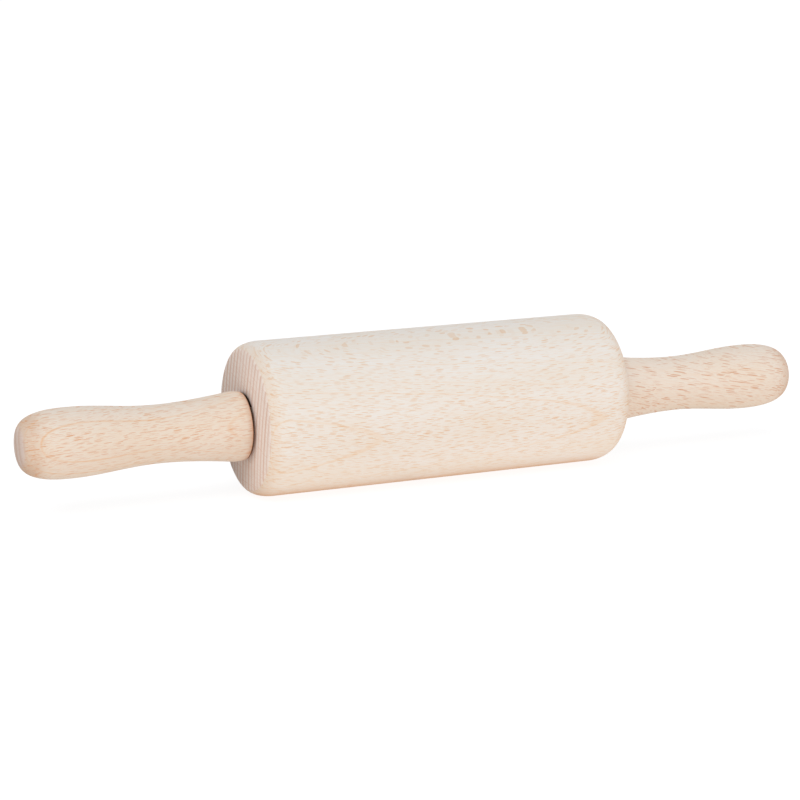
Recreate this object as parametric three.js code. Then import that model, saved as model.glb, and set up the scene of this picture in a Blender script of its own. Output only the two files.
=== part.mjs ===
// A small beech rolling pin. A bored roller turns freely on a loose wooden axle,
// and a turned handle is glued on each end of the axle.
// Millimetres, +Z up, the axle along X, the origin on the table under the roller's middle.

import * as THREE from "three";

// Roller
const ROLLER_LENGTH = 115;
const ROLLER_DIAMETER = 45;
const ROLLER_EDGE_LENGTH = 6; // each sanded edge is longer along the piece than it is deep
const ROLLER_EDGE_DEPTH = 2.7;
const BORE_CHAMFER = 0.8;

// Axle
const AXLE_DIAMETER = 10;
const AXLE_CHAMFER = 1;
const AXLE_DROP = 1.5; // how far the axle lies below the roller's centre line, low in its loose bore
const SEAT_CLEARANCE = 0.3; // under the axle, where it lies in the bore
const END_FLOAT = 0.7; // between each end of the roller and the handle beside it

// Handle, from its inner end to its tip
const COLLAR_DIAMETER = 20.2;
const COLLAR_EDGE_LENGTH = 3.5;
const COLLAR_EDGE_DEPTH = 0.5;
const WAIST_DIAMETER = 16.7;
const COLLAR_TO_WAIST = 22.5;
const BULGE_DIAMETER = 20;
const WAIST_TO_BULGE = 25.5;
const DOME_LENGTH = 14.6;
const DOME_POWER_ALONG = 2.4; // 2 along and 2 across would be an ellipse, and higher is blunter
const DOME_POWER_ACROSS = 4;

// Blind socket in the handle for the axle
const SOCKET_DEPTH = 30;
const SOCKET_CHAMFER = 0.6;
const DRILL_POINT_ANGLE = 118;
const GLUE_CLEARANCE = 0.1; // round the axle in its socket
const GLUE_POCKET = 1; // between the axle's end and the socket's floor

// Fineness of the round faces
const FACETS_PER_QUARTER = 12;
const CORNER_STEPS = 6;
const CURVE_STEPS = 8;
const DOME_STEPS = 10;

// Sizes that follow from the ones above
const ROLLER_RADIUS = ROLLER_DIAMETER / 2;
const AXLE_RADIUS = AXLE_DIAMETER / 2;
const BORE_RADIUS = AXLE_RADIUS + AXLE_DROP + SEAT_CLEARANCE;
const SOCKET_RADIUS = AXLE_RADIUS + GLUE_CLEARANCE;
const HANDLE_START = ROLLER_LENGTH / 2 + END_FLOAT;
const AXLE_LENGTH = 2 * (HANDLE_START + SOCKET_DEPTH - GLUE_POCKET);
const AXLE_HEIGHT = ROLLER_RADIUS - AXLE_DROP;

// Beech: the roller is the palest, and the axle is never seen
const rollerWood = new THREE.MeshStandardMaterial({ color: 0xebdfd0, roughness: 0.62, metalness: 0 });
const handleWood = new THREE.MeshStandardMaterial({ color: 0xe6d0b9, roughness: 0.58, metalness: 0 });
const axleWood = new THREE.MeshStandardMaterial({ color: 0xdcc3a5, roughness: 0.7, metalness: 0 });

// Profile points are (radius, distance along the piece)
const point = (radius, along) => new THREE.Vector2(radius, along);

// A rounded edge, round or elliptical, drawn from one angle to another about its own centre
function roundedEdge(centre, depth, length, fromAngle, toAngle) {
  const points = [];
  for (let step = 0; step <= CORNER_STEPS; step += 1) {
    const angle = THREE.MathUtils.degToRad(fromAngle + ((toAngle - fromAngle) * step) / CORNER_STEPS);
    points.push(point(centre.x + depth * Math.cos(angle), centre.y + length * Math.sin(angle)));
  }
  return points;
}

// Two ways to go from one radius to another: level at both ends, or level at the far end only
const levelAtBothEnds = (share) => (1 - Math.cos(Math.PI * share)) / 2;
const levelAtFarEnd = (share) => Math.sin((Math.PI / 2) * share);

// A flowing curve between two radii, without its first point
function flowingCurve(from, to, ease) {
  const points = [];
  for (let step = 1; step <= CURVE_STEPS; step += 1) {
    const share = step / CURVE_STEPS;
    points.push(point(from.x + (to.x - from.x) * ease(share), from.y + (to.y - from.y) * share));
  }
  return points;
}

// A blunt dome from its widest point to the axis, without its first point
function bluntDome(from, length) {
  const points = [];
  for (let step = 1; step < DOME_STEPS; step += 1) {
    const angle = (Math.PI / 2) * (step / DOME_STEPS);
    const along = length * Math.sin(angle) ** (2 / DOME_POWER_ALONG);
    const across = from.x * Math.cos(angle) ** (2 / DOME_POWER_ACROSS);
    points.push(point(across, from.y + along));
  }
  points.push(point(0, from.y + length));
  return points;
}

// A turned piece: its profile goes round, with flats on the true radius and one flat facing down
function turned(name, profile, material) {
  const facets = 4 * FACETS_PER_QUARTER;
  const halfFacet = Math.PI / facets;
  const toCorner = 1 / Math.cos(halfFacet);
  const outline = profile.map((place) => point(place.x * toCorner, place.y));
  const mesh = new THREE.Mesh(new THREE.LatheGeometry(outline, facets, halfFacet), material);
  mesh.name = name;
  return mesh;
}

// The roller's section is a closed outline: up the outside and back down the bore
function makeRoller() {
  const end = ROLLER_LENGTH / 2;
  const edgeRadius = ROLLER_RADIUS - ROLLER_EDGE_DEPTH;
  const edgeStart = end - ROLLER_EDGE_LENGTH;
  const outside = [
    ...roundedEdge(point(edgeRadius, -edgeStart), ROLLER_EDGE_DEPTH, ROLLER_EDGE_LENGTH, -90, 0),
    ...roundedEdge(point(edgeRadius, edgeStart), ROLLER_EDGE_DEPTH, ROLLER_EDGE_LENGTH, 0, 90),
  ];
  const bore = [
    point(BORE_RADIUS + BORE_CHAMFER, end),
    point(BORE_RADIUS, end - BORE_CHAMFER),
    point(BORE_RADIUS, -end + BORE_CHAMFER),
    point(BORE_RADIUS + BORE_CHAMFER, -end),
  ];
  return turned("roller", [...outside, ...bore, outside[0]], rollerWood);
}

function makeAxle() {
  const end = AXLE_LENGTH / 2;
  const profile = [
    point(0, -end),
    point(AXLE_RADIUS - AXLE_CHAMFER, -end),
    point(AXLE_RADIUS, -end + AXLE_CHAMFER),
    point(AXLE_RADIUS, end - AXLE_CHAMFER),
    point(AXLE_RADIUS - AXLE_CHAMFER, end),
    point(0, end),
  ];
  return turned("axle", profile, axleWood);
}

// The handle's section runs from the socket's floor, out over the collar, waist and bulge, to the tip
function makeHandle(name) {
  const drillPoint = SOCKET_RADIUS / Math.tan(THREE.MathUtils.degToRad(DRILL_POINT_ANGLE / 2));
  const socket = [
    point(0, SOCKET_DEPTH + drillPoint),
    point(SOCKET_RADIUS, SOCKET_DEPTH),
    point(SOCKET_RADIUS, SOCKET_CHAMFER),
    point(SOCKET_RADIUS + SOCKET_CHAMFER, 0),
  ];
  const collar = point(COLLAR_DIAMETER / 2, COLLAR_EDGE_LENGTH);
  const rimCentre = point(collar.x - COLLAR_EDGE_DEPTH, collar.y);
  const waist = point(WAIST_DIAMETER / 2, collar.y + COLLAR_TO_WAIST);
  const bulge = point(BULGE_DIAMETER / 2, waist.y + WAIST_TO_BULGE);
  const outside = [
    ...roundedEdge(rimCentre, COLLAR_EDGE_DEPTH, COLLAR_EDGE_LENGTH, -90, 0),
    ...flowingCurve(collar, waist, levelAtFarEnd),
    ...flowingCurve(waist, bulge, levelAtBothEnds),
    ...bluntDome(bulge, DOME_LENGTH),
  ];
  return turned(name, [...socket, ...outside], handleWood);
}

// Turned pieces grow along +Y, so a quarter turn lays them along the axle
const TO_RIGHT = -Math.PI / 2;
const TO_LEFT = Math.PI / 2;

const roller = makeRoller();
roller.rotation.z = TO_RIGHT;
roller.position.z = ROLLER_RADIUS;

const axle = makeAxle();
axle.rotation.z = TO_RIGHT;

const leftHandle = makeHandle("left_handle");
leftHandle.rotation.z = TO_LEFT;
leftHandle.position.x = -HANDLE_START;

const rightHandle = makeHandle("right_handle");
rightHandle.rotation.z = TO_RIGHT;
rightHandle.position.x = HANDLE_START;

// The handles and the axle are one rigid set that lies low in the roller's bore
const handleSet = new THREE.Group();
handleSet.position.z = AXLE_HEIGHT;
handleSet.add(axle, leftHandle, rightHandle);

const rollingPin = new THREE.Group();
rollingPin.add(roller, handleSet);

export default rollingPin;
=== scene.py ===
"""A small beech rolling pin, turned and sanded, on a white table in soft studio light."""
import math

import bmesh
import bpy
from mathutils import Color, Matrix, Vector


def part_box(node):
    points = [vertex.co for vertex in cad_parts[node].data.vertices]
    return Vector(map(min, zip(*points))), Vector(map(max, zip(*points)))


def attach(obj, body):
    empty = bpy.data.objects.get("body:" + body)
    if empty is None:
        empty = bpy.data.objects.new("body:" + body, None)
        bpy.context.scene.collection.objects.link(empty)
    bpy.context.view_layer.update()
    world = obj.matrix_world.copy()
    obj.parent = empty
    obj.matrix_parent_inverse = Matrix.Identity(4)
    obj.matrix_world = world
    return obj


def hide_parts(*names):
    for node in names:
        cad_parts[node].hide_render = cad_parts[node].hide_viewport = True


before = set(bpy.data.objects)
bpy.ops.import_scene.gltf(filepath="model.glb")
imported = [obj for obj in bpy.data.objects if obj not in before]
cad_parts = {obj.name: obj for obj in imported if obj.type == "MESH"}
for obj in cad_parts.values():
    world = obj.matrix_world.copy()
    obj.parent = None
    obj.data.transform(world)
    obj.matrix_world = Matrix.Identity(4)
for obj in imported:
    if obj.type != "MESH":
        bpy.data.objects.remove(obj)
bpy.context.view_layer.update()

MM = 0.001

# Places and sizes from the frame
ROLLER_LOW, ROLLER_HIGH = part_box("roller")
HANDLE_LOW, HANDLE_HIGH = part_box("right_handle")
AXLE_LOW, AXLE_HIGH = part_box("axle")
ROLLER_HALF = ROLLER_HIGH.x
ROLLER_RADIUS = (ROLLER_HIGH.z - ROLLER_LOW.z) / 2
ROLLER_CENTRE = Vector((0, 0, ROLLER_RADIUS))
HANDLE_START = HANDLE_LOW.x
HANDLE_LENGTH = HANDLE_HIGH.x - HANDLE_LOW.x
AXLE_RADIUS = (AXLE_HIGH.z - AXLE_LOW.z) / 2
AXLE_CENTRE = Vector((0, 0, (AXLE_HIGH.z + AXLE_LOW.z) / 2))
AXLE_HALF = AXLE_HIGH.x

# Turned shapes
ROLLER_EDGE_LENGTH = 6 * MM
ROLLER_EDGE_DEPTH = 2.7 * MM
BORE_RADIUS = 6.8 * MM
BORE_CHAMFER = 0.8 * MM
AXLE_CHAMFER = 1 * MM
COLLAR_RADIUS = 10.1 * MM
COLLAR_EDGE_LENGTH = 3.5 * MM
COLLAR_EDGE_DEPTH = 0.5 * MM
WAIST_RADIUS = 8.35 * MM
COLLAR_TO_WAIST = 22.5 * MM
BULGE_RADIUS = 10 * MM
WAIST_TO_BULGE = 25.5 * MM
DOME_POWER_ALONG = 2.4  # 2 along and 2 across would be an ellipse, and higher is blunter
DOME_POWER_ACROSS = 4
SOCKET_RADIUS = 5.1 * MM
SOCKET_DEPTH = 30 * MM
SOCKET_CHAMFER = 0.6 * MM
DRILL_POINT = 3.06 * MM

# Fineness
FACETS = 192
CORNER_STEPS = 10
CURVE_STEPS = 32
DOME_STEPS = 28
SHARP_ANGLE = math.radians(25)

# Camera, fitted to the photograph's outline
IMAGE_SIDE = 800
FOCAL_PIXELS = 2365.4
SENSOR = 36
CAMERA_AZIMUTH = math.radians(-24.78)
CAMERA_ELEVATION = math.radians(12.23)
CAMERA_DISTANCE = 0.70265
MIDDLE_PIXEL = (426.5, 402.40)  # where the middle of the roller lies in the picture


def colour(red, green, blue):
    """A colour written as the eye sees it, from 0 to 255, as the linear value that a shader takes."""
    seen = Color((red / 255, green / 255, blue / 255))
    return (*seen.from_srgb_to_scene_linear(), 1.0)


# Marks in the wood: millimetres along the grain, across it and out from the pith
SWAY_SIZE = (70, 40, 40)
WOBBLE_SIZE = (11, 5, 5)
CLOUD_SIZE = (40, 12, 12)
FIBRE_SIZE = (6, 0.24, 0.24)
SMUDGE_SIZE = (2, 0.7, 1.4)
RING_WANDER_SIZE = (24, 8, 10)
RING_PATCH_SIZE = (22, 7, 7)
STREAK_SIZE = (26, 0.6, 3)

# Noise about zero: how fine it is, and the levels between which each mark builds up
NOISE_DETAIL = 2
FIBRE_DETAIL = 3
CLOUD_LEVELS = (-0.2, 0.2)
FIBRE_LEVELS = (-0.2, 0.25)
SMUDGE_LEVELS = (0.06, 0.2)
RING_PATCH_LEVELS = (-0.12, 0.12)
ROUGHNESS_LEVELS = (-0.3, 0.3)

# Growth rings: shares of a year's growth, and the strength of the faintest year
LATE_WOOD_START = 0.3
LATE_WOOD_FULL = 0.94
LATE_WOOD_END = 0.95
FAINTEST_LINE = 0.25
FAINTEST_LATE_WOOD = 0.55

# Rays: radii, soft edge and scatter are shares of the cell that each ray lies in
RAY_RADII = (0.17, 0.29)
RAY_EDGE = 0.04
RAY_SCATTER = 0.85
RAY_STAGGER = -0.2  # cells along for each cell across
RAY_LAYER_SHIFT = (5.31, 3.77)  # cells along and across, so that no two layers are alike
FAINTEST_RAY = 0.4
FLAKE_STRENGTH = 0.46
DASHES_UNTIL = 0.1  # share of the way round to where the rays show as flakes

# Faces that turn towards the end of the grain: 0 is along the grain and 1 is square across it
EDGE_FACING = (0.15, 0.5)
SMUDGE_FACING = (0.05, 0.3)
INNER_FACE_FACING = (0.9, 0.99)
SMUDGE_STRENGTH = 0.4
END_FIBRE_STRENGTH = 0.3
END_RAY_STRENGTH = 0.8

# Painted shade where the roller and the handles meet, dark round the bore's mouth and on the handles' inner
# rims, for the shadow in the gap; and a burnished band on the handles where they rub
# painted shade: near-black, for the shadow in the gap between roller and handle
GAP_SHADE_COLOUR = colour(46, 24, 18)
GAP_SHADE_WIDTHS = (0.2 * MM, 0.42 * MM)
GAP_SHADE_RADII = (BORE_RADIUS + BORE_CHAMFER / 2, BORE_RADIUS + 2 * BORE_CHAMFER)
# painted shade: brown, at the edge of the gap's shadow on the handles' rims
RIM_SHADE_COLOUR = colour(158, 96, 55)
RIM_SHADE_WIDTHS = (0.2 * MM, 0.65 * MM)
RIM_SHADE_STRENGTH = 0.9
BURNISH_COLOUR = colour(205, 150, 112)
BURNISH_LENGTH = 2.4 * MM
BURNISH_STRENGTH = 0.55

# Sanded finish
SPECULAR_LEVEL = 0.04
ROUGHNESS_SPREAD = 0.06
RELIEF_HEIGHT = 0.05 * MM
RELIEF_STRENGTH = 0.12
RAY_RELIEF = 0.5

# The wood of each piece
ROLLER_LOOK = {
    "turn": -11.0,  # degrees about the piece's axis
    "offset": 0.0,  # millimetres along the log
    "pith": 138.92,  # millimetres from the piece's axis to the middle of the tree
    "lean": 0.035,  # slope of the grain
    "bow": -0.0008,  # bend of the grain
    "sway": 1.5,  # millimetres, in long waves
    "wobble": 0.4,  # millimetres, in short waves
    "ring_spacing": 2.3,  # millimetres
    "ring_slope": 0.0643,
    "ring_wander": 0.5,  # millimetres
    "ring_line": 0.84,  # share of the year's growth at which the dark line begins
    "ring_strength": 0.54,
    "ring_patch": 0.75,  # share of the strength that is left in faint patches
    "first_year": 245.0,  # the strength of each ring depends on its year
    "broad_ray": (4.6, 0.31, 4.0),  # size of its cell in millimetres
    "fine_ray": (4.0, 0.25, 2.0),  # size of its cell in millimetres
    "ray_share": 0.7,  # share of the cells that hold a ray
    "ray_strength": 0.95,
    "fine_strength": 0.3,
    "streak_share": 0.0,  # share of the cells that hold a long streak
    "flakes_at": 23.0,  # millimetres round the pith, where the rays show as flakes
    "fibre": 0.32,
    "edge_strength": (0.35, 0.35),  # where the rings lie flat, and where they stand on edge
    "end_facing": (0.83, 0.91),  # where side grain turns into end grain
    "roughness": 0.6,
    "wear_and_gap_shade": "bore_mouth",
    "pale": colour(240, 236, 231),
    "warm": colour(238, 231, 222),
    "ring": colour(238, 212, 184),
    "ray": colour(224, 172, 110),
    "edge": colour(232, 207, 184),
    "end_pale": colour(247, 236, 229),
    "end_dark": colour(224, 190, 170),
}
HANDLE_LOOK = ROLLER_LOOK | {
    "bow": 0.0,
    "sway": 0.6,
    "ring_spacing": 3.6,
    "ring_wander": 0.25,
    "ring_line": 0.88,
    "ring_strength": 0.75,
    "ring_patch": 0.5,
    "broad_ray": (5.0, 0.40, 1.2),
    "fine_ray": (4.2, 0.36, 0.8),
    "ray_share": 0.75,
    "ray_strength": 0.8,
    "fine_strength": 0.4,
    "streak_share": 0.06,
    "flakes_at": 12.0,
    "fibre": 0.3,
    "edge_strength": (0.3, 0.6),
    "end_facing": (0.82, 0.98),
    "wear_and_gap_shade": "inner_end",
    "pale": colour(238, 227, 215),
    "warm": colour(237, 224, 209),
    "ring": colour(234, 192, 152),
    "ray": colour(218, 148, 88),
    "edge": colour(208, 166, 134),
    "end_pale": colour(231, 213, 203),
    "end_dark": colour(218, 189, 172),
}
LEFT_LOOK = HANDLE_LOOK | {
    "turn": 12.0,
    "offset": 37.0,
    "pith": 65.5,
    "lean": -0.05,
    "ring_slope": -0.05,
    "first_year": 224.0,
}
RIGHT_LOOK = HANDLE_LOOK | {
    "turn": 10.0,
    "offset": 205.0,
    "pith": 60.4,
    "lean": 0.235,
    "ring_slope": 0.08,
    "ring_strength": 0.3,
    "broad_ray": (7.2, 0.54, 1.2),
    "ray_share": 0.6,
    "ray_strength": 0.86,
    "ray": colour(208, 136, 82),
}
AXLE_LOOK = HANDLE_LOOK | {"turn": 70.0, "offset": 90.0, "wear_and_gap_shade": None}

# Table: it glows, as painted bounce light on the pin. The glow falls off under the roller and rises again
# behind it, a painted shadow of the pin, and from under the roller backwards it is warm, painted warm shade
# by the contact
WHITE = (1.0, 1.0, 1.0, 1.0)
FLOOR_SIDE = 24.0
FLOOR_GLOW = 1.12
FLOOR_SHADOW_SHARE = 0.2
FLOOR_SHADE = 0.08
FLOOR_FALL = (-1.35 * ROLLER_RADIUS, 1.3 * ROLLER_RADIUS)
FLOOR_RISE = (2 * ROLLER_RADIUS, 5 * ROLLER_RADIUS)
FLOOR_BOUNCE = (1.15, 1.07, 1.0, 1.0)
CONTACT_BOUNCE = (1.0, 0.56, 0.3, 1.0)
CONTACT_FRONT = (-0.75 * ROLLER_RADIUS, -0.35 * ROLLER_RADIUS)
CONTACT_ENDS = (0.9 * ROLLER_HALF, 1.1 * ROLLER_HALF)

# Light
WORLD_LEVEL = 0.48
WORLD_TINT = (1.0, 1.0, 1.04, 1.0)
WORLD_LEAN = (0.14, -0.1, 0.0)
KEY_AZIMUTH = math.radians(-45)
KEY_ELEVATION = math.radians(57)
KEY_STRENGTH = 1.31
KEY_TINT = (0.96, 1.0, 1.0)
KEY_WIDTH = math.radians(45)


# Turned meshes
def rounded_edge(centre, depth, length, from_angle, to_angle):
    """A round or elliptical edge, as (radius, along) points from one angle to another about its centre."""
    points = []
    for step in range(CORNER_STEPS + 1):
        angle = math.radians(from_angle + (to_angle - from_angle) * step / CORNER_STEPS)
        points.append((centre[0] + depth * math.cos(angle), centre[1] + length * math.sin(angle)))
    return points


def level_at_both_ends(share):
    return (1 - math.cos(math.pi * share)) / 2


def level_at_far_end(share):
    return math.sin(math.pi / 2 * share)


def flowing_curve(start, end, ease):
    """A flowing curve between two (radius, along) points, without its first point."""
    points = []
    for step in range(1, CURVE_STEPS + 1):
        share = step / CURVE_STEPS
        radius = start[0] + (end[0] - start[0]) * ease(share)
        along = start[1] + (end[1] - start[1]) * share
        points.append((radius, along))
    return points


def blunt_dome(start, length):
    """A blunt dome from its widest point to the axis, without its first point."""
    points = []
    for step in range(1, DOME_STEPS):
        angle = math.pi / 2 * step / DOME_STEPS
        along = length * math.sin(angle) ** (2 / DOME_POWER_ALONG)
        across = start[0] * math.cos(angle) ** (2 / DOME_POWER_ACROSS)
        points.append((across, start[1] + along))
    points.append((0, start[1] + length))
    return points


def add_ring(shape, centre, x, radius):
    """A ring of corners about the X axis through centre. On the axis it is one corner, repeated."""
    if radius == 0:
        return [shape.verts.new((x, centre.y, centre.z))] * FACETS
    ring = []
    for facet in range(FACETS):
        angle = 2 * math.pi * facet / FACETS
        place = (x, centre.y + radius * math.cos(angle), centre.z + radius * math.sin(angle))
        ring.append(shape.verts.new(place))
    return ring


def turned(name, profile, centre, direction, closed=False):
    """Turns a profile of (radius, along) points about the X axis through centre, growing along direction."""
    shape = bmesh.new()
    rings = [add_ring(shape, centre, centre.x + direction * along, radius) for radius, along in profile]
    pairs = list(zip(rings, rings[1:]))
    if closed:
        pairs.append((rings[-1], rings[0]))
    for low, high in pairs:
        for facet in range(FACETS):
            after = (facet + 1) % FACETS
            corners = [low[facet], low[after], high[after], high[facet]]
            shape.faces.new(list(dict.fromkeys(corners)))
    bmesh.ops.recalc_face_normals(shape, faces=shape.faces)
    for edge in shape.edges:
        edge.smooth = edge.calc_face_angle(0) < SHARP_ANGLE
    for face in shape.faces:
        face.smooth = True
    mesh = bpy.data.meshes.new(name)
    shape.to_mesh(mesh)
    shape.free()
    piece = bpy.data.objects.new(name, mesh)
    bpy.context.collection.objects.link(piece)
    return piece


def make_roller():
    edge_radius = ROLLER_RADIUS - ROLLER_EDGE_DEPTH
    edge_start = ROLLER_HALF - ROLLER_EDGE_LENGTH
    mouth = BORE_RADIUS + BORE_CHAMFER
    profile = rounded_edge((edge_radius, -edge_start), ROLLER_EDGE_DEPTH, ROLLER_EDGE_LENGTH, -90, 0)
    profile += rounded_edge((edge_radius, edge_start), ROLLER_EDGE_DEPTH, ROLLER_EDGE_LENGTH, 0, 90)
    profile += [(mouth, ROLLER_HALF), (BORE_RADIUS, ROLLER_HALF - BORE_CHAMFER)]
    profile += [(BORE_RADIUS, -ROLLER_HALF + BORE_CHAMFER), (mouth, -ROLLER_HALF)]
    return turned("beech_roller", profile, ROLLER_CENTRE, 1, closed=True)


def make_axle():
    end = AXLE_RADIUS - AXLE_CHAMFER
    shoulder = AXLE_HALF - AXLE_CHAMFER
    profile = [(0, -AXLE_HALF), (end, -AXLE_HALF), (AXLE_RADIUS, -shoulder)]
    profile += [(AXLE_RADIUS, shoulder), (end, AXLE_HALF), (0, AXLE_HALF)]
    return turned("beech_axle", profile, AXLE_CENTRE, 1)


def make_handle(name, direction):
    collar = (COLLAR_RADIUS, COLLAR_EDGE_LENGTH)
    rim_centre = (COLLAR_RADIUS - COLLAR_EDGE_DEPTH, COLLAR_EDGE_LENGTH)
    waist = (WAIST_RADIUS, collar[1] + COLLAR_TO_WAIST)
    bulge = (BULGE_RADIUS, waist[1] + WAIST_TO_BULGE)
    profile = [(0, SOCKET_DEPTH + DRILL_POINT), (SOCKET_RADIUS, SOCKET_DEPTH)]
    profile += [(SOCKET_RADIUS, SOCKET_CHAMFER), (SOCKET_RADIUS + SOCKET_CHAMFER, 0)]
    profile += rounded_edge(rim_centre, COLLAR_EDGE_DEPTH, COLLAR_EDGE_LENGTH, -90, 0)
    profile += flowing_curve(collar, waist, level_at_far_end)
    profile += flowing_curve(waist, bulge, level_at_both_ends)
    profile += blunt_dome(bulge, HANDLE_LENGTH - bulge[1])
    centre = AXLE_CENTRE + Vector((direction * HANDLE_START, 0, 0))
    return turned(name, profile, centre, direction)


# Shader nodes
def add_node(tree, kind, inputs=None, **settings):
    """Adds a shader node. Each input is a plain value or another node's output."""
    node = tree.nodes.new(kind)
    for key, value in settings.items():
        setattr(node, key, value)
    for key, value in (inputs or {}).items():
        if isinstance(value, bpy.types.NodeSocket):
            tree.links.new(value, node.inputs[key])
        else:
            node.inputs[key].default_value = value
    return node


def math_node(tree, operation, first, second=0.0):
    return add_node(tree, "ShaderNodeMath", {0: first, 1: second}, operation=operation).outputs[0]


def plus(tree, total, *terms):
    for term in terms:
        total = math_node(tree, "ADD", total, term)
    return total


def times(tree, first, second):
    return math_node(tree, "MULTIPLY", first, second)


def ramp(tree, value, low, high, to_low=0.0, to_high=1.0):
    """A smooth step from to_low to to_high as value goes from low to high."""
    inputs = {"Value": value, "From Min": low, "From Max": high, "To Min": to_low, "To Max": to_high}
    return add_node(tree, "ShaderNodeMapRange", inputs, interpolation_type="SMOOTHSTEP").outputs[0]


def blend_colour(tree, share, first, second):
    node = add_node(tree, "ShaderNodeMix", {0: share, 6: first, 7: second}, data_type="RGBA")
    return node.outputs[2]


def vector(tree, x, y, z):
    return add_node(tree, "ShaderNodeCombineXYZ", {0: x, 1: y, 2: z}).outputs[0]


def coordinates(tree, place):
    return add_node(tree, "ShaderNodeSeparateXYZ", {0: place}).outputs


def vector_node(tree, operation, first, second):
    return add_node(tree, "ShaderNodeVectorMath", {0: first, 1: second}, operation=operation).outputs[0]


def length_of(tree, place):
    return add_node(tree, "ShaderNodeVectorMath", {0: place}, operation="LENGTH").outputs["Value"]


def own_place(tree):
    """A place on an object, in its own axes."""
    return add_node(tree, "ShaderNodeTexCoord").outputs["Object"]


# Beech
def wood_place(tree, axis_height, look):
    """A place in the wood, in millimetres: along the grain, round the pith, and out from the pith."""
    from_axis = vector_node(tree, "SUBTRACT", own_place(tree), (look["offset"] * MM, 0, axis_height))
    in_millimetres = vector_node(tree, "DIVIDE", from_axis, (MM, MM, MM))
    inputs = {"Vector": in_millimetres, "Angle": math.radians(look["turn"])}
    as_cut = add_node(tree, "ShaderNodeVectorRotate", inputs, rotation_type="X_AXIS").outputs[0]
    along, sideways, upward = coordinates(tree, as_cut)
    outward = plus(tree, sideways, look["pith"])
    across = times(tree, math_node(tree, "ARCTAN2", upward, outward), look["pith"])
    depth = length_of(tree, vector(tree, 0.0, outward, upward))
    return vector(tree, along, across, depth)


def grain_noise(tree, wood, sizes, detail=NOISE_DETAIL):
    """Noise about zero whose patches have these sizes in millimetres."""
    inputs = {"Vector": vector_node(tree, "DIVIDE", wood, sizes), "Scale": 1.0, "Detail": detail}
    return math_node(tree, "SUBTRACT", add_node(tree, "ShaderNodeTexNoise", inputs).outputs[0], 0.5)


def bent_grain(tree, wood, look):
    """The wood's places with the grain leaning and bowed, and swaying a little from side to side."""
    along = coordinates(tree, wood)[0]
    lean = times(tree, along, look["lean"])
    bow = times(tree, times(tree, along, along), look["bow"])
    sway = times(tree, grain_noise(tree, wood, SWAY_SIZE), look["sway"])
    wobble = times(tree, grain_noise(tree, wood, WOBBLE_SIZE), look["wobble"])
    shift = plus(tree, sway, wobble, lean, bow)
    return vector_node(tree, "ADD", wood, vector(tree, 0.0, shift, 0.0))


def growth_rings(tree, wood, look):
    """How far through its yearly ring a place lies, and how strongly that ring shows, both from 0 to 1."""
    along, _, depth = coordinates(tree, wood)
    wander = times(tree, grain_noise(tree, wood, RING_WANDER_SIZE), look["ring_wander"])
    slope = times(tree, along, look["ring_slope"])
    count = math_node(tree, "DIVIDE", plus(tree, depth, wander, slope), look["ring_spacing"])
    year = plus(tree, math_node(tree, "FLOOR", count), look["first_year"])
    chance = add_node(tree, "ShaderNodeTexWhiteNoise", {"W": year}, noise_dimensions="1D").outputs[0]
    strength = ramp(tree, chance, 0.0, 1.0, FAINTEST_LINE, 1.0)
    patch_noise = grain_noise(tree, wood, RING_PATCH_SIZE)
    patch = ramp(tree, patch_noise, *RING_PATCH_LEVELS, look["ring_patch"], 1.0)
    return math_node(tree, "FRACT", count), times(tree, strength, patch)


def late_wood(tree, share, start):
    """The dark part of each ring, from 0 to 1, that builds up from start and ends sharply."""
    rise = ramp(tree, share, start, LATE_WOOD_FULL)
    fall = ramp(tree, share, LATE_WOOD_END, 1.0, 1.0, 0.0)
    return times(tree, rise, fall)


def ray_flecks(tree, wood, sizes, share):
    """Thin upright rays, from 0 to 1: dashes where the rings lie flat, flakes where they stand on edge."""
    along, across, depth = coordinates(tree, vector_node(tree, "DIVIDE", wood, sizes))
    layer = math_node(tree, "FLOOR", depth)
    along = plus(tree, along, times(tree, across, RAY_STAGGER), times(tree, layer, RAY_LAYER_SHIFT[0]))
    across = plus(tree, across, times(tree, layer, RAY_LAYER_SHIFT[1]))
    inputs = {"Vector": vector(tree, along, across, 0.0), "Scale": 1.0, "Randomness": RAY_SCATTER}
    cells = add_node(tree, "ShaderNodeTexVoronoi", inputs, voronoi_dimensions="2D").outputs
    chances = add_node(tree, "ShaderNodeSeparateColor", {0: cells["Color"]}).outputs
    size_chance, share_chance, strength_chance = chances
    size = ramp(tree, size_chance, 0.0, 1.0, *RAY_RADII)
    shape = ramp(tree, math_node(tree, "SUBTRACT", size, cells["Distance"]), 0.0, RAY_EDGE)
    present = math_node(tree, "LESS_THAN", share_chance, share)
    strength = ramp(tree, strength_chance, 0.0, 1.0, FAINTEST_RAY, 1.0)
    return times(tree, times(tree, shape, present), strength)


def by_ring_angle(tree, straight, look, flat, upright):
    """A level that goes from flat, where the rings lie flat, to upright, where they stand on edge."""
    across = math_node(tree, "ABSOLUTE", coordinates(tree, straight)[1])
    return ramp(tree, across, DASHES_UNTIL * look["flakes_at"], look["flakes_at"], flat, upright)


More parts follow.
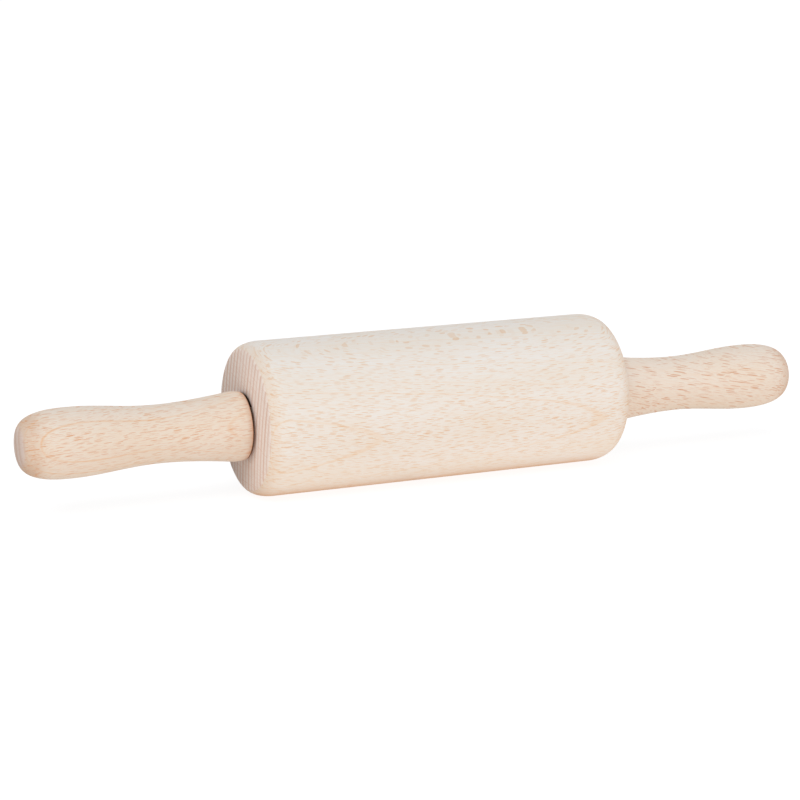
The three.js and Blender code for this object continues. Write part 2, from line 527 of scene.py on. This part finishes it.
def wood_marks(tree, axis_height, look):
    """The marks that show on the piece, each as a level by its name."""
    straight = wood_place(tree, axis_height, look)
    wood = bent_grain(tree, straight, look)
    ring_share, ring_strength = growth_rings(tree, wood, look)
    late_strength = ramp(tree, ring_strength, 0.0, 1.0, FAINTEST_LATE_WOOD, 1.0)
    normal = add_node(tree, "ShaderNodeTexCoord").outputs["Normal"]
    return {
        "late_wood": times(tree, late_wood(tree, ring_share, LATE_WOOD_START), late_strength),
        "ring_line": times(tree, late_wood(tree, ring_share, look["ring_line"]), ring_strength),
        "broad_rays": ray_flecks(tree, wood, look["broad_ray"], look["ray_share"]),
        "fine_rays": ray_flecks(tree, wood, look["fine_ray"], look["ray_share"]),
        "streaks": ray_flecks(tree, wood, STREAK_SIZE, look["streak_share"]),
        "ray_contrast": by_ring_angle(tree, straight, look, 1.0, FLAKE_STRENGTH),
        "cloud": grain_noise(tree, wood, CLOUD_SIZE),
        "fibre": grain_noise(tree, wood, FIBRE_SIZE, FIBRE_DETAIL),
        "smudge": grain_noise(tree, wood, SMUDGE_SIZE),
        "edge_strength": by_ring_angle(tree, straight, look, *look["edge_strength"]),
        "facing": math_node(tree, "ABSOLUTE", coordinates(tree, normal)[0]),
    }


def side_colour(tree, marks, look):
    """The colour along the grain: pale and warm clouds, and over them the fibres, ring lines and rays."""
    fibre = ramp(tree, marks["fibre"], *FIBRE_LEVELS, 0.0, look["fibre"])
    edge = times(tree, ramp(tree, marks["facing"], *EDGE_FACING), marks["edge_strength"])
    ring_line = times(tree, marks["ring_line"], look["ring_strength"])
    fine_rays = times(tree, marks["fine_rays"], marks["ray_contrast"])
    dark_rays = math_node(tree, "MAXIMUM", marks["broad_rays"], marks["streaks"])
    dark_rays = times(tree, dark_rays, marks["ray_contrast"])
    smudge = ramp(tree, marks["smudge"], *SMUDGE_LEVELS, 0.0, SMUDGE_STRENGTH)
    edge_smudge = times(tree, ramp(tree, marks["facing"], *SMUDGE_FACING), smudge)
    side = blend_colour(tree, ramp(tree, marks["cloud"], *CLOUD_LEVELS), look["pale"], look["warm"])
    side = blend_colour(tree, fibre, side, look["ring"])
    side = blend_colour(tree, edge, side, look["edge"])
    side = blend_colour(tree, ring_line, side, look["ring"])
    side = blend_colour(tree, times(tree, fine_rays, look["fine_strength"]), side, look["ray"])
    side = blend_colour(tree, times(tree, dark_rays, look["ray_strength"]), side, look["ray"])
    return blend_colour(tree, edge_smudge, side, look["ray"])


def end_colour(tree, marks, look):
    """The colour across the grain: a dark band in each ring, with fibres and rays."""
    fibre = ramp(tree, marks["fibre"], *FIBRE_LEVELS, 0.0, END_FIBRE_STRENGTH)
    rays = times(tree, marks["broad_rays"], END_RAY_STRENGTH)
    end = blend_colour(tree, marks["late_wood"], look["end_pale"], look["end_dark"])
    end = blend_colour(tree, fibre, end, look["end_dark"])
    return blend_colour(tree, rays, end, look["end_dark"])


def shaded_bore_mouth(tree, axis_height, wood_colour):
    """The roller's colour, with painted shade in its bore and round the bore's mouth, for the shadow of the
    gap under the handle's collar.
    """
    _, y, z = coordinates(tree, own_place(tree))
    radius = length_of(tree, vector(tree, 0.0, y, math_node(tree, "SUBTRACT", z, axis_height)))
    # painted shade in the bore and round its mouth
    gap_shade = ramp(tree, radius, *GAP_SHADE_RADII, 1.0, 0.0)
    return blend_colour(tree, gap_shade, wood_colour, GAP_SHADE_COLOUR)


def worn_and_shaded_inner_end(tree, facing, wood_colour):
    """A handle's colour, burnished towards the end that rubs on the roller, and with painted shade round its
    rim, brown then near-black, for the shadow in the gap.
    """
    from_middle = math_node(tree, "ABSOLUTE", coordinates(tree, own_place(tree))[0])
    from_end = math_node(tree, "SUBTRACT", from_middle, HANDLE_START)
    burnish = ramp(tree, from_end, 0.0, BURNISH_LENGTH, BURNISH_STRENGTH, 0.0)
    # painted shade: the rim's brown and near-black bands by the gap
    rim_shade = ramp(tree, from_end, *RIM_SHADE_WIDTHS, RIM_SHADE_STRENGTH, 0.0)
    gap_shade = ramp(tree, from_end, *GAP_SHADE_WIDTHS, 1.0, 0.0)
    worn_and_shaded = blend_colour(tree, burnish, wood_colour, BURNISH_COLOUR)
    worn_and_shaded = blend_colour(tree, rim_shade, worn_and_shaded, RIM_SHADE_COLOUR)
    worn_and_shaded = blend_colour(tree, gap_shade, worn_and_shaded, GAP_SHADE_COLOUR)
    return blend_colour(tree, ramp(tree, facing, *INNER_FACE_FACING), worn_and_shaded, wood_colour)


def sand(tree, shader, marks, look):
    """The finish: uneven roughness, little shine, and a slight relief of fibres and rays."""
    rough = look["roughness"] - ROUGHNESS_SPREAD
    rougher = look["roughness"] + ROUGHNESS_SPREAD
    roughness = ramp(tree, marks["fibre"], *ROUGHNESS_LEVELS, rough, rougher)
    tree.links.new(roughness, shader.inputs["Roughness"])
    shader.inputs["Specular IOR Level"].default_value = SPECULAR_LEVEL
    relief = math_node(tree, "SUBTRACT", marks["fibre"], times(tree, marks["broad_rays"], RAY_RELIEF))
    inputs = {"Height": relief, "Strength": RELIEF_STRENGTH, "Distance": RELIEF_HEIGHT}
    tree.links.new(add_node(tree, "ShaderNodeBump", inputs).outputs[0], shader.inputs["Normal"])


def make_beech(name, axis_height, look):
    """Beech as one solid block that the piece is cut from, with growth rings, rays and end grain."""
    material = bpy.data.materials.new(name)
    material.use_nodes = True
    tree = material.node_tree
    shader = tree.nodes["Principled BSDF"]
    marks = wood_marks(tree, axis_height, look)
    end_grain = ramp(tree, marks["facing"], *look["end_facing"])
    surface = blend_colour(tree, end_grain, side_colour(tree, marks, look), end_colour(tree, marks, look))
    # painted shade by the gap on the roller and the handles; on the handles also a burnished band
    if look["wear_and_gap_shade"] == "inner_end":
        surface = worn_and_shaded_inner_end(tree, marks["facing"], surface)
    if look["wear_and_gap_shade"] == "bore_mouth":
        surface = shaded_bore_mouth(tree, axis_height, surface)
    tree.links.new(surface, shader.inputs["Base Color"])
    sand(tree, shader, marks, look)
    return material


# Pieces on their bodies
def finish_piece(piece, node, body, material):
    piece.data.materials.append(material)
    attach(piece, body)
    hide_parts(node)


roller = make_roller()
axle = make_axle()
left_handle = make_handle("beech_left_handle", -1)
right_handle = make_handle("beech_right_handle", 1)
roller_wood = make_beech("roller_beech", ROLLER_CENTRE.z, ROLLER_LOOK)
axle_wood = make_beech("axle_beech", AXLE_CENTRE.z, AXLE_LOOK)
left_wood = make_beech("left_handle_beech", AXLE_CENTRE.z, LEFT_LOOK)
right_wood = make_beech("right_handle_beech", AXLE_CENTRE.z, RIGHT_LOOK)
finish_piece(roller, "roller", "roller", roller_wood)
finish_piece(axle, "axle", "handle_set", axle_wood)
finish_piece(left_handle, "left_handle", "handle_set", left_wood)
finish_piece(right_handle, "right_handle", "handle_set", right_wood)


# Stage
def direction_to(azimuth, elevation):
    """The direction from the pin to something at this azimuth and elevation."""
    level = math.cos(elevation)
    return Vector((math.sin(azimuth) * level, -math.cos(azimuth) * level, math.sin(elevation)))


def seen_directly(tree):
    """1 where a camera, glossy or transmitted ray arrives, and 0 where light is being gathered."""
    rays = add_node(tree, "ShaderNodeLightPath").outputs
    direct = math_node(tree, "MAXIMUM", rays["Is Camera Ray"], rays["Is Glossy Ray"])
    return math_node(tree, "MAXIMUM", direct, rays["Is Transmission Ray"])


def floor_bounce(tree):
    """The painted bounce light that the table glows with onto the pin, with a painted shadow behind the
    roller.
    """
    sideways, backward, _ = coordinates(tree, own_place(tree))
    fall = ramp(tree, backward, *FLOOR_FALL, 1.0, FLOOR_SHADE)
    rise = ramp(tree, backward, *FLOOR_RISE, 0.0, 1.0 - FLOOR_SHADE)
    from_middle = math_node(tree, "ABSOLUTE", sideways)
    under_roller = ramp(tree, from_middle, *CONTACT_ENDS, 1.0, 0.0)
    # painted warm shade close under the roller, where it touches the table
    contact = times(tree, ramp(tree, backward, *CONTACT_FRONT), under_roller)
    tint = blend_colour(tree, contact, FLOOR_BOUNCE, CONTACT_BOUNCE)
    inputs = {"Color": tint, "Strength": plus(tree, fall, rise)}
    return add_node(tree, "ShaderNodeEmission", inputs).outputs[0]


def make_white_table():
    """A table that looks white but for a soft shadow, and glows with a tinted painted bounce light."""
    material = bpy.data.materials.new("white_table")
    material.use_nodes = True
    tree = material.node_tree
    tree.nodes.clear()
    white = add_node(tree, "ShaderNodeEmission", {"Color": WHITE, "Strength": FLOOR_GLOW}).outputs[0]
    shaded = add_node(tree, "ShaderNodeBsdfDiffuse", {"Color": WHITE}).outputs[0]
    seen = add_node(tree, "ShaderNodeMixShader", {0: FLOOR_SHADOW_SHARE, 1: white, 2: shaded}).outputs[0]
    inputs = {0: seen_directly(tree), 1: floor_bounce(tree), 2: seen}
    surface = add_node(tree, "ShaderNodeMixShader", inputs).outputs[0]
    add_node(tree, "ShaderNodeOutputMaterial", {"Surface": surface})
    return material


def make_floor():
    mesh = bpy.data.meshes.new("table")
    half = FLOOR_SIDE / 2
    corners = [(-half, -half, 0), (half, -half, 0), (half, half, 0), (-half, half, 0)]
    mesh.from_pydata(corners, [], [(0, 1, 2, 3)])
    mesh.materials.append(make_white_table())
    floor = bpy.data.objects.new("table", mesh)
    bpy.context.collection.objects.link(floor)


def make_world():
    """Soft light that leans to the front and right, and a white background."""
    world = bpy.data.worlds.new("studio")
    world.use_nodes = True
    tree = world.node_tree
    tree.nodes.clear()
    inputs = {0: add_node(tree, "ShaderNodeTexCoord").outputs["Generated"], 1: WORLD_LEAN}
    lean = add_node(tree, "ShaderNodeVectorMath", inputs, operation="DOT_PRODUCT").outputs["Value"]
    inputs = {"Color": WORLD_TINT, "Strength": plus(tree, lean, WORLD_LEVEL)}
    soft = add_node(tree, "ShaderNodeBackground", inputs).outputs[0]
    white = add_node(tree, "ShaderNodeBackground", {"Color": WHITE, "Strength": 1.0}).outputs[0]
    surface = add_node(tree, "ShaderNodeMixShader", {0: seen_directly(tree), 1: soft, 2: white}).outputs[0]
    add_node(tree, "ShaderNodeOutputWorld", {"Surface": surface})
    bpy.context.scene.world = world


def make_key():
    lamp = bpy.data.lights.new("key", "SUN")
    lamp.energy = KEY_STRENGTH
    lamp.color = KEY_TINT
    lamp.angle = KEY_WIDTH
    key = bpy.data.objects.new("key", lamp)
    key.rotation_mode = "QUATERNION"
    key.rotation_quaternion = (-direction_to(KEY_AZIMUTH, KEY_ELEVATION)).to_track_quat("-Z", "Y")
    bpy.context.collection.objects.link(key)


def make_camera():
    back = direction_to(CAMERA_AZIMUTH, CAMERA_ELEVATION)
    lens = bpy.data.cameras.new("camera")
    lens.sensor_width = SENSOR
    lens.lens = FOCAL_PIXELS * SENSOR / IMAGE_SIDE
    lens.shift_x = -(MIDDLE_PIXEL[0] - IMAGE_SIDE / 2) / IMAGE_SIDE
    lens.shift_y = (MIDDLE_PIXEL[1] - IMAGE_SIDE / 2) / IMAGE_SIDE
    lens.clip_end = 2 * FLOOR_SIDE
    camera = bpy.data.objects.new("camera", lens)
    camera.location = ROLLER_CENTRE + back * CAMERA_DISTANCE
    camera.rotation_mode = "QUATERNION"
    camera.rotation_quaternion = (-back).to_track_quat("-Z", "Y")
    bpy.context.collection.objects.link(camera)
    bpy.context.scene.camera = camera


make_floor()
make_world()
make_key()
make_camera()
bpy.context.scene.view_settings.view_transform = "Standard"
